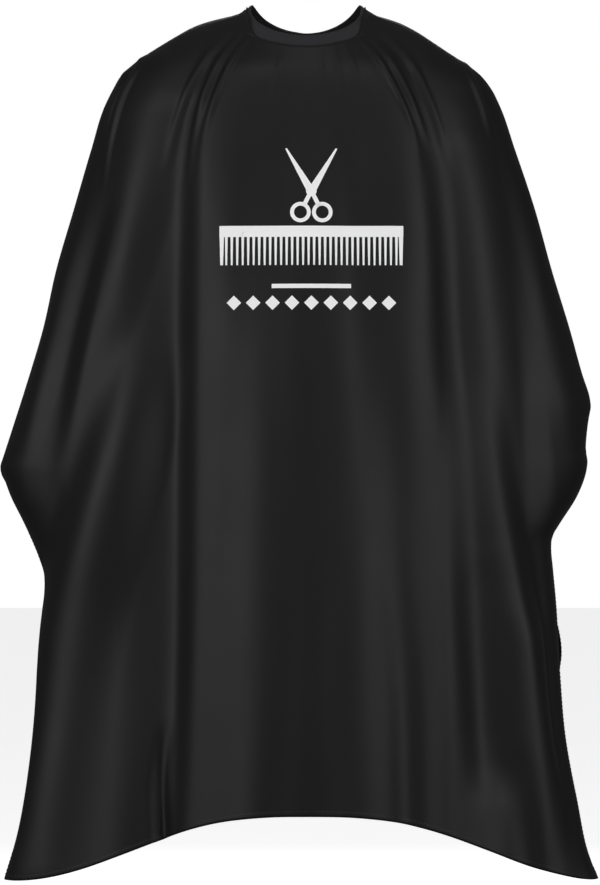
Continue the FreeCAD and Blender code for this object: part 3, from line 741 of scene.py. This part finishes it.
@dataclass
class Drape:
    """What the front and the two backs of the cloth share."""

    rows: int
    columns: int
    reach: tuple[tuple[float, float], ...]
    down_ease: float
    part: float
    part_run: float
    part_power: int
    tuck_down: float = 22.5 * MM
    tuck_lift: float = 0.9 * MM
    ride_up: float = 18.0 * MM
    ride_lift: float = 1.9 * MM
    ride_from: float = 38.0
    ride_ramp: float = 34.0
    ride_peak: float = 92.0
    ride_fall: float = 62.0
    leave_slope: float = 0.35
    leave_soft: float = 0.3 * MM
    leave_run: float = 25 * MM
    puff: float = 4.0
    settle: float = 0.07
    fold_settle: float = 0.05
    turn_ease: float = 0.8
    side_ease: float = 0.9
    part_from: float = 560.0
    edge_fade: float = 13.0
    edge_power: int = 7
    thickness: float = 0.7 * MM
    hem_width: float = 9 * MM
    hem_lift: float = 0.55 * MM
    hem_thin: float = 0.8
    hem_profile: tuple[float, ...] = (0.2, 1.0, 1.0, 0.6)
    hem_overhang: float = 0.2 * MM
    stitch: Stitch = Stitch(pitch=5 * MM, length=3.4 * MM, thread=0.6 * MM)

    def ridden(self, phi: np.ndarray) -> np.ndarray:
        """How far the cloth has ridden up over the neckband at an angle, from 0 to 1."""
        before = (np.asarray(phi, float) - self.ride_from) / self.ride_ramp
        after = 1 - (np.asarray(phi, float) - self.ride_peak) / self.ride_fall
        return smoothstep(np.minimum(before, after))

    def start(self, side: float, phi: np.ndarray) -> np.ndarray:
        """Where the cloth leaves the neckband: under its lower edge, but ridden up over it at the sides. Metres."""
        up = self.ridden(phi)
        return BAND.point(side, phi, self.tuck_down - self.ride_up * up, self.tuck_lift + self.ride_lift * up)

    def over_band(self, points: np.ndarray) -> np.ndarray:
        """Lifts points off the neckband's strip where they would sink into it. Metres."""
        x, y, z = (points[..., k] for k in range(3))
        out, turn = np.hypot(x, y), np.arctan2(np.abs(x), -y)
        phi = np.degrees(turn)
        up, lean = self.ridden(phi), BAND.lean(phi)
        far, high = out - BAND.neck_radius, z - BAND.top_edge(phi)
        lift = far * np.cos(lean) + high * np.sin(lean)
        past = np.maximum(far * np.sin(lean) - high * np.cos(lean) - BAND.width, 0)
        lack = self.tuck_lift + self.ride_lift * up - self.leave_slope * past - lift
        near = 1 - smoothstep(past / self.leave_run)
        rise = (np.hypot(lack, self.leave_soft) + lack) / 2 * up * near
        off = out + rise * np.cos(lean)
        return np.stack([np.sign(x) * np.sin(turn) * off, -np.cos(turn) * off, z + rise * np.sin(lean)], axis=-1)

    def edge(self, side: np.ndarray, depth: np.ndarray) -> np.ndarray:
        """Half width of the cloth's outline at a depth. Millimetres."""
        raise NotImplementedError

    def hang(
        self, side: np.ndarray, start: np.ndarray, first: np.ndarray, last: np.ndarray, turn_last: np.ndarray,
        down: np.ndarray, at_side: np.ndarray,
    ) -> tuple[np.ndarray, np.ndarray, np.ndarray]:
        """The cloth on the body's form, before its folds. Millimetres.

        Args:
            side: the sign of X.
            start: where the cloth leaves the neckband.
            first: depth at which each line down the cloth starts.
            last: depth at which it ends.
            turn_last: how far round the form it ends, in radians from the front.
            down: share of the way down the line.
            at_side: whether the point is on the side edge.

        Returns:
            The points, their depths, and how far round the form they are.
        """
        ahead = -start[..., 1] / flowing(first, self.reach)
        turn_first = np.where(at_side, np.pi / 2, np.arctan2(np.abs(start[..., 0]) / self.edge(side, first), ahead))
        depth = first + (last - first) * down**self.down_ease
        turn = turn_first + (turn_last - turn_first) * smoothstep(down) ** self.turn_ease
        # only the edge itself follows the outline's corners
        even = flowing(depth, EASY_HALF)
        half = even + (self.edge(side, depth) - even) * np.sin(turn) ** self.edge_power
        form = np.stack([side * half * np.sin(turn), -flowing(depth, self.reach) * np.cos(turn), -depth], axis=-1)
        points = form + (start[:1] - form[:1]) * (1 - smoothstep(down / self.settle))[..., None]
        # below the wings the front hangs forward of the back
        apart = smoothstep((depth - self.part_from) / self.part_run) * np.sin(turn) ** self.part_power
        points[..., 1] += self.part * apart
        return points, depth, turn

    def folded(self, base: np.ndarray, lift: np.ndarray, turn: np.ndarray, down: np.ndarray) -> np.ndarray:
        """Raises points off the form by their folds' height, but not at the side edge or the neckband. Metres."""
        normals = grid_normals(base)
        outward = np.sum((normals * base)[..., :2], axis=-1)
        fade = smoothstep(np.abs(90 - np.degrees(turn)) / self.edge_fade) * smoothstep(down / self.fold_settle)
        if np.median(outward) < 0:
            normals = -normals
        return (base + normals * (lift * fade)[..., None]) * MM

    def turned_hem(self, name: str, grid: np.ndarray) -> tuple[bpy.types.Object, bpy.types.Object]:
        """The turned edge along the grid's last row, and the stitches that hold it.

        Args:
            name: what the two pieces are named for.
            grid: the sheet's points, whose last row is the cut edge.

        Returns:
            The turned edge and its row of stitches.
        """
        normals = grid_normals(grid)
        steps = np.linalg.norm(np.diff(grid, axis=0), axis=2)
        from_edge = np.cumsum(steps[::-1], axis=0)[::-1]
        from_edge = np.vstack([from_edge, np.zeros((1, grid.shape[1]))])
        marks = np.linspace(self.hem_width, -self.hem_overhang, len(self.hem_profile))
        strip, ups = (np.empty((len(marks), grid.shape[1], 3)) for _ in range(2))
        for c in range(grid.shape[1]):
            for k in range(3):
                strip[:, c, k] = np.interp(-marks, -from_edge[:, c], grid[:, c, k])
                ups[:, c, k] = np.interp(-marks, -from_edge[:, c], normals[:, c, k])
        lifted = strip + ups * np.array(self.hem_profile)[:, None, None] * self.hem_lift
        hem = cloth_from(f"{name}_hem", lifted)
        thick = self.thickness * self.hem_thin
        finish_modifier(hem, "SOLIDIFY", thickness=thick, offset=0.0)
        SATIN.dress(hem)
        seam = self.stitch.row(f"{name}_hem_stitches", lifted[1] + ups[1] * thick / 2, ups[1])
        return hem, seam


    def sewn(self, name: str, place: str, grid: np.ndarray) -> tuple[bpy.types.Object, ...]:
        """A sheet with its thickness, its turned edge and its stitches.

        Args:
            name: the sheet's name.
            place: what the edge and its stitches are named for.
            grid: the sheet's points.

        Returns:
            The sheet, its turned edge and the stitches.
        """
        piece = SATIN.dress(cloth_from(name, grid))
        area = sum(face.area for face in piece.data.polygons)
        hem, seam = self.turned_hem(place, grid)
        finish_modifier(piece, "SOLIDIFY", thickness=self.thickness, offset=-1.0)
        LOG.info("%s: %.3f m2 of cloth", name, area)
        return piece, hem, seam


@dataclass
class Front(Drape):
    """The front of the cloth: from the neckband over both shoulders to the hem and the side edges."""

    columns: int = 291
    rows: int = 150
    reach: tuple[tuple[float, float], ...] = CHEST
    corner: float = 0.60
    hem_middle: float = 958.0
    hem_fall: float = 86.0
    hem_turn: float = 1.3
    hem_half: float = 350.0
    hem_read: float = 1000.0
    puff_from: float = 0.45
    down_ease: float = 1.12
    part: float = -46.0
    part_run: float = 420.0
    part_power: int = 6
    bulge: float = 32.0
    bulge_from: float = 120.0
    bulge_run: float = 330.0
    bulge_middle: float = 1.0
    bulge_half: float = 156.0
    bulge_flat: float = 0.66

    def edge(self, side: np.ndarray, depth: np.ndarray) -> np.ndarray:
        """Half width of the front's outline at a depth. Millimetres."""
        return np.where(side > 0, flowing(depth, HALF[Side.LEFT]), flowing(depth, HALF[Side.RIGHT]))

    def hem_depth(self, x: np.ndarray) -> np.ndarray:
        """Depth of the hem at a distance from the middle, both in millimetres."""
        swing = np.pi * np.clip(np.abs(x) / self.hem_half, 0, 1) ** self.hem_turn
        return self.hem_middle + self.hem_fall * (1 - np.cos(swing)) / 2

    def raised(self, depth: np.ndarray, x: np.ndarray) -> np.ndarray:
        """Height of the folds, the slack and the bulge in the middle. Millimetres."""
        across_bulge = smoothstep(1 - np.abs(x - self.bulge_middle) / self.bulge_half) ** self.bulge_flat
        bulge = self.bulge * smoothstep((depth - self.bulge_from) / self.bulge_run) * across_bulge
        return sum(fold.height(depth, x) for fold in FRONT_FOLDS) + slack(depth, x) + bulge

    def grid(self) -> np.ndarray:
        """The front's points, in metres."""
        share, down = np.meshgrid(np.linspace(-1, 1, self.columns), np.linspace(0, 1, self.rows))
        side, across = np.where(share < 0, -1.0, 1.0), np.abs(share)
        start = self.start(side, 90 * across) / MM
        puffed = smoothstep((across - self.puff_from) / (1 - self.puff_from))
        first = -start[..., 2] + 2 - (self.puff + 2) * puffed
        turn_last = np.pi / 2 * np.clip(across / self.corner, 0, 1)
        low = self.hem_middle + self.hem_fall
        on_hem = self.hem_depth(np.sin(turn_last) * self.edge(side, np.full_like(down, self.hem_read)))
        past = np.clip((across - self.corner) / (1 - self.corner), 0, 1) ** self.side_ease
        on_side = low + (np.where(side > 0, WING[Side.LEFT], WING[Side.RIGHT]) - low) * past
        last = np.where(across <= self.corner, on_hem, on_side)
        base, depth, turn = self.hang(side, start, first, last, turn_last, down, across >= 1)
        return self.over_band(self.folded(base, self.raised(depth, base[..., 0]), turn, down))

    def build(self) -> bpy.types.Object:
        grid = self.grid()
        if np.median(grid_normals(grid)[..., 1]) > 0:
            grid = grid[:, ::-1]
        piece, hem, seam = self.sewn("cape_front", "front", grid)
        for made in (piece, hem, seam):
            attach(made, Body.CAPE.value)
        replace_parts(piece, "front_panel")
        return piece


@dataclass
class Back(Drape):
    """One back of the cloth, from the shoulder to the slit in the middle."""

    side: Side = Side.LEFT
    columns: int = 121
    rows: int = 120
    reach: tuple[tuple[float, float], ...] = SPINE
    corner: float = 0.36
    last_phi: float = 178.9
    slit_depth: float = 566.0
    corner_depth: float = 808.0
    hem_turn: float = 1.35
    slit_gap: float = 1.6
    slit_flare: float = 9.0
    slit_near: float = 0.8
    puff_to: float = 0.5
    down_ease: float = 1.1
    part: float = 18.0
    part_run: float = 200.0
    part_power: int = 4
    slack_shift: float = 40.0
    hinge: tuple[float, float, float] = (65.74787 * MM, 49.54457 * MM, -28.50823 * MM)
    bend: float = 26 * MM
    bend_way: tuple[float, float, float] = (-0.9985, 0.0, -0.055)

    def edge(self, side: np.ndarray, depth: np.ndarray) -> np.ndarray:
        """Half width of this back's outline at a depth. Millimetres."""
        return flowing(depth, BACK_HALF[self.side])

    def grid(self) -> np.ndarray:
        """The back's points, in metres. The first column is at the shoulder, the last at the slit."""
        sign = self.side.value
        across, down = np.meshgrid(np.linspace(0, 1, self.columns), np.linspace(0, 1, self.rows))
        start = self.start(sign, 90 + (self.last_phi - 90) * across) / MM
        first = -start[..., 2] - self.puff * (1 - smoothstep(across / self.puff_to))
        turn_last = np.pi / 2 * (1 + np.clip((across - self.corner) / (1 - self.corner), 0, 1))
        wing = WING[self.side]
        on_side = wing + (self.corner_depth - wing) * np.clip(across / self.corner, 0, 1) ** self.side_ease
        on_hem = self.slit_depth + (self.corner_depth - self.slit_depth) * np.sin(turn_last) ** self.hem_turn
        last = np.where(across >= self.corner, on_hem, on_side)
        base, depth, turn = self.hang(sign, start, first, last, turn_last, down, across <= 0)
        near_slit = smoothstep((across - self.slit_near) / (1 - self.slit_near))
        base[..., 0] += sign * (self.slit_gap * across**8 + self.slit_flare * near_slit * down**2)
        x = np.abs(base[..., 0])
        lift = sum(fold.height(depth, x) for fold in BACK_FOLDS) + slack(depth, x + self.slack_shift * (sign < 0))
        return self.folded(base, lift, turn, down)

    def build(self) -> bpy.types.Object:
        """Makes the back as one fixed piece."""
        word = self.side.name.lower()
        grid = self.grid()
        if np.median(grid_normals(grid)[..., 1]) < 0:
            grid = grid[:, ::-1]
        piece, hem, seam = self.sewn(f"cape_back_{word}", f"{word}_back", grid)
        for made in (piece, hem, seam):
            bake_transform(made)
        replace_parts(piece, f"{word}_back_panel", f"{word}_back_flap")
        return piece


# ---------------------------------------------------------------- print


@dataclass
class ChestPrint:
    """White film pressed on the chest: scissors over a comb, a rule and a row of lozenges."""

    middle: float = 6 * MM
    plane: float = -0.30
    film: float = 0.16 * MM
    lift: float = 0.55 * MM
    comb_top: float = 274 * MM
    comb_length: float = 214 * MM
    comb_back: float = 13 * MM
    tooth: float = 33 * MM
    tooth_pitch: float = 6.4 * MM
    tooth_width: float = 3.4 * MM
    tooth_taper: float = 0.6
    guard_extra: float = 0.6
    pivot_drop: float = 233 * MM
    blade: float = 58 * MM
    blade_root: float = 10 * MM
    blade_tip: float = 2.0 * MM
    blade_past: float = 2.0 * MM
    blade_curve: float = 0.35
    blade_open: float = 27.0
    handle: float = 28 * MM
    handle_width: float = 5 * MM
    ring: float = 12 * MM
    ring_hole: float = 7.5 * MM
    half_lifts: tuple[float, float] = (0.5 * MM, 0.74 * MM)
    boss: float = 6.2 * MM
    boss_lift: float = 0.9 * MM
    rule: tuple[float, float, float] = (92 * MM, 5 * MM, 342 * MM)
    lozenges: int = 9
    lozenge_side: float = 12 * MM
    lozenge_pitch: float = 22.5 * MM
    lozenge_drop: float = 364 * MM

    def plate(
        self, x: float, z: float, width: float, height: float, turn: float = 0.0, cuts: int = 0
    ) -> bpy.types.Object:
        """A flat plate of film in front of the chest, with cuts that let it follow the cloth."""
        deselect()
        bpy.ops.mesh.primitive_plane_add(size=1, location=(x, self.plane, z), rotation=(math.pi / 2, turn, 0))
        piece = bpy.context.object
        piece.scale = (width, height, 1)
        bpy.ops.object.transform_apply(location=True, rotation=True, scale=True)
        if cuts:
            edit_whole(piece, "subdivide", number_cuts=cuts)
        return piece

    def press(self, piece: bpy.types.Object, cloth: bpy.types.Object, lift: float) -> bpy.types.Object:
        """Lays a flat piece on the cloth and gives it the film's thickness."""
        finish_modifier(
            piece, "SHRINKWRAP", target=cloth, wrap_method="PROJECT", use_project_x=False, use_project_y=True,
            use_project_z=False, use_negative_direction=True, use_positive_direction=True, offset=lift,
        )
        edit_whole(piece, "normals_make_consistent", inside=False)
        if sum(face.normal.y for face in piece.data.polygons) > 0:
            edit_whole(piece, "flip_normals")
        finish_modifier(piece, "SOLIDIFY", thickness=self.film, offset=0.0)
        FILM.dress(piece)
        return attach(piece, Body.CAPE.value)

    def scissor_half(self, side: int) -> bpy.types.Object:
        """One blade with its handle and finger ring."""
        pivot = Vector((self.middle, self.plane, -self.pivot_drop))
        turn = side * math.radians(self.blade_open)
        up = Vector((math.sin(turn), 0, math.cos(turn)))
        across = Vector((math.cos(turn), 0, -math.sin(turn)))
        mid = pivot + up * (self.blade / 2 - self.blade_past)
        blade = self.plate(mid.x, mid.z, self.blade_root, self.blade + 2 * self.blade_past, turn)
        for vertex in blade.data.vertices:
            away = vertex.co - pivot
            if away.dot(up) > self.blade / 2:
                narrowed = away.dot(across) * (1 - self.blade_tip / self.blade_root)
                vertex.co -= across * (narrowed - side * self.blade_root * self.blade_curve)
        edit_whole(blade, "subdivide", number_cuts=9)
        long = self.handle - self.ring_hole
        mid = pivot - up * long / 2
        grip = self.plate(mid.x, mid.z, self.handle_width, long, turn, cuts=5)
        centre = pivot - up * self.handle
        deselect()
        bpy.ops.mesh.primitive_circle_add(
            vertices=64, radius=self.ring, fill_type="NOTHING", location=centre, rotation=(math.pi / 2, 0, 0)
        )
        ring = bpy.context.object
        bpy.ops.object.mode_set(mode="EDIT")
        bpy.ops.mesh.select_all(action="SELECT")
        bpy.ops.mesh.extrude_edges_move()
        bpy.ops.transform.resize(value=(self.ring_hole / self.ring,) * 3, center_override=centre)
        bpy.ops.object.mode_set(mode="OBJECT")
        bpy.ops.object.transform_apply(location=True, rotation=True, scale=True)
        return joined(f"scissor_half_{side + 1}", [blade, grip, ring])

    def scissors(self, cloth: bpy.types.Object) -> None:
        """The open scissors: two halves and the screw between them."""
        sides = zip((Side.RIGHT, Side.LEFT), self.half_lifts)
        halves = [self.press(self.scissor_half(side.value), cloth, lift) for side, lift in sides]
        deselect()
        bpy.ops.mesh.primitive_circle_add(
            vertices=32, radius=self.boss, fill_type="TRIFAN",
            location=(self.middle, self.plane, -self.pivot_drop), rotation=(math.pi / 2, 0, 0),
        )
        bpy.ops.object.transform_apply(location=True, rotation=True, scale=True)
        boss = self.press(bpy.context.object, cloth, self.boss_lift)
        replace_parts(joined("print_scissors_film", [*halves, boss]), "print_scissors")

    def comb(self, cloth: bpy.types.Object) -> None:
        """The comb: its back, and its teeth between two wider guard teeth."""
        line = -self.comb_top - self.comb_back / 2
        height = self.tooth + self.comb_back / 2
        z = line - height / 2
        parts = [self.plate(self.middle, line, self.comb_length, self.comb_back, cuts=40)]
        count = int(self.comb_length / self.tooth_pitch)
        half = (self.comb_length - self.tooth_width) / 2
        for i in range(count + 1):
            # a guard tooth grows towards the comb's middle
            guard = (i == 0) - (i == count)
            extra = self.tooth_width * self.guard_extra * guard
            x = self.middle - half + i * 2 * half / count + extra / 2
            tooth = self.plate(x, z, self.tooth_width + abs(extra), height)
            for vertex in tooth.data.vertices:
                if vertex.co.z < z:
                    vertex.co.x = x + (vertex.co.x - x) * self.tooth_taper
            edit_whole(tooth, "subdivide", number_cuts=5)
            parts.append(tooth)
        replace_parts(self.press(joined("print_comb_film", parts), cloth, self.lift), "print_comb")

    def plain_marks(self, cloth: bpy.types.Object) -> None:
        """The rule and the row of lozenges."""
        length, height, drop = self.rule
        rule = self.plate(self.middle, -drop - height / 2, length, height, cuts=24)
        rule.name = "print_rule_film"
        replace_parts(self.press(rule, cloth, self.lift), "print_rule")
        row = (np.arange(self.lozenges) - (self.lozenges - 1) / 2) * self.lozenge_pitch + self.middle
        size = self.lozenge_side
        marks = [self.plate(x, -self.lozenge_drop, size, size, math.pi / 4, cuts=4) for x in row]
        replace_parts(self.press(joined("print_lozenges_film", marks), cloth, self.lift), "print_lozenges")

    def build(self, cloth: bpy.types.Object) -> None:
        """Presses the whole print on the cloth."""
        self.scissors(cloth)
        self.comb(cloth)
        self.plain_marks(cloth)
        LOG.info("print on %s", cloth.name)


# ---------------------------------------------------------------- fittings


@dataclass
class Fittings:
    """The snaps, which keep their shapes, and the care label."""

    label_length: float = 42 * MM
    label_width: float = 28 * MM
    label_thick: float = 0.3 * MM
    label_turn: float = 22.0
    curl: float = 1.0 * MM
    cup: float = 0.4

    def snaps(self) -> None:
        """Plates every snap part with nickel."""
        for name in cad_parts:
            if name.startswith(("band_stud", "band_post", "tab_cap", "tab_socket")):
                NICKEL.dress_node(name)

    def label(self) -> None:
        """The care label: a satin tape that hangs from the seam with a slight curl."""
        low, high = (np.array(corner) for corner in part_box("care_label"))
        turn = math.radians(self.label_turn)
        along = np.array([-math.cos(turn), math.sin(turn), 0.0])
        out = np.array([math.sin(turn), math.cos(turn), 0.0])
        down = np.linspace(0, 1, 25)[:, None]
        off = np.linspace(-0.5, 0.5, 13)[None, :]
        bow = self.curl * down**2 * (1 - (2 * off) ** 2 * self.cup)
        top = np.array([*((low + high) / 2)[:2], high[2]])
        drop = np.array([0.0, 0.0, high[2] - low[2]])
        grid = top - down[..., None] * drop + (off * self.label_width)[..., None] * along - bow[..., None] * out
        piece = cloth_from("care_label_tape", grid)
        finish_modifier(piece, "SOLIDIFY", thickness=self.label_thick, offset=0.0)
        TAPE.dress(piece)
        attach(piece, Body.LABEL.value)
        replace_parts(piece, "care_label")
        LOG.info("care label on %s", Body.LABEL.value)


# ---------------------------------------------------------------- studio


@dataclass
class Studio:
    """A pale floor, soft lights and the camera, straight in front."""

    distance: float = 4.5
    seen_height: float = 1.062
    middle: tuple[float, float] = (-0.0072, -0.526)
    sensor: float = 36.0
    floor_drop: float = 0.35
    floor_size: float = 30.0
    aim: tuple[float, float, float] = (0.0, 0.0, -0.5)
    around: float = 0.07

    def lamp(self, name: str, place: tuple[float, float, float], size: tuple[float, float], power: float) -> None:
        """A soft box that looks at the middle of the cape."""
        light = bpy.data.lights.new(name, "AREA")
        light.shape = "RECTANGLE"
        light.size, light.size_y = size
        light.energy = power
        holder = placed(name, light)
        holder.location = place
        holder.rotation_euler = (Vector(self.aim) - Vector(place)).to_track_quat("-Z", "Y").to_euler()

    def floor(self) -> None:
        """A pale floor, some way under the hem."""
        deselect()
        low = BOX_OF_FRAME[0][2] - self.floor_drop
        bpy.ops.mesh.primitive_plane_add(size=self.floor_size, location=(0, 0, low))
        ground = bpy.context.object
        ground.name = "pale_floor"
        paint = bpy.data.materials.new("pale_paint")
        paint.use_nodes = True
        set_inputs(found(paint.node_tree, "BSDF_PRINCIPLED"), {
            "Base Color": linear("#f4f4f4"),
            "Roughness": 0.9,
            "Emission Color": linear("#ffffff"),
            "Emission Strength": 0.8,
        })
        ground.data.materials.append(paint)
        ground.visible_diffuse = False
        ground.visible_glossy = False

    def world(self) -> None:
        """Faint light from all round, and a white background behind the cape."""
        world = bpy.data.worlds.new("studio")
        bpy.context.scene.world = world
        world.use_nodes = True
        tree = world.node_tree
        seen, white = found(tree, "BACKGROUND"), (1, 1, 1, 1)
        set_inputs(seen, {"Color": white, "Strength": 1.0})
        around = add_node(tree, "ShaderNodeBackground", {"Color": white, "Strength": self.around})
        ray = add_node(tree, "ShaderNodeLightPath").outputs["Is Camera Ray"]
        sources = {"Fac": ray, 1: around.outputs["Background"], 2: seen.outputs["Background"]}
        both = add_node(tree, "ShaderNodeMixShader", sources)
        tree.links.new(both.outputs["Shader"], found(tree, "OUTPUT_WORLD").inputs["Surface"])

    def camera(self) -> None:
        """The camera, level and straight in front."""
        data = bpy.data.cameras.new("camera")
        data.sensor_width = self.sensor
        data.lens = self.sensor * self.distance / self.seen_height
        holder = placed("camera", data)
        holder.location = (self.middle[0], -self.distance, self.middle[1])
        holder.rotation_euler = (math.pi / 2, 0, 0)
        bpy.context.scene.camera = holder

    def build(self) -> None:
        """Sets up the studio."""
        self.floor()
        self.world()
        self.lamp("left_soft_box", (-2.7, -2.6, 0.1), (1.4, 2.6), 71)
        self.lamp("right_soft_box", (2.7, -2.6, 0.1), (1.4, 2.6), 63)
        self.lamp("top_soft_box", (0.0, -1.6, 2.8), (2.0, 1.2), 24)
        self.lamp("back_soft_box", (0.0, 2.9, 0.5), (1.2, 1.6), 22)
        bpy.context.scene.view_settings.view_transform = "Standard"
        self.camera()


def main() -> None:
    """Builds the cape's pieces in order, then the studio."""
    logging.basicConfig(level=logging.INFO, format="%(name)s: %(message)s")
    front = Front().build()
    Back(side=Side.LEFT).build()
    Back(side=Side.RIGHT).build()
    NeckBand().build()
    ChestPrint().build(front)
    fittings = Fittings()
    fittings.snaps()
    fittings.label()
    Studio().build()


if __name__ == "__main__":
    main()
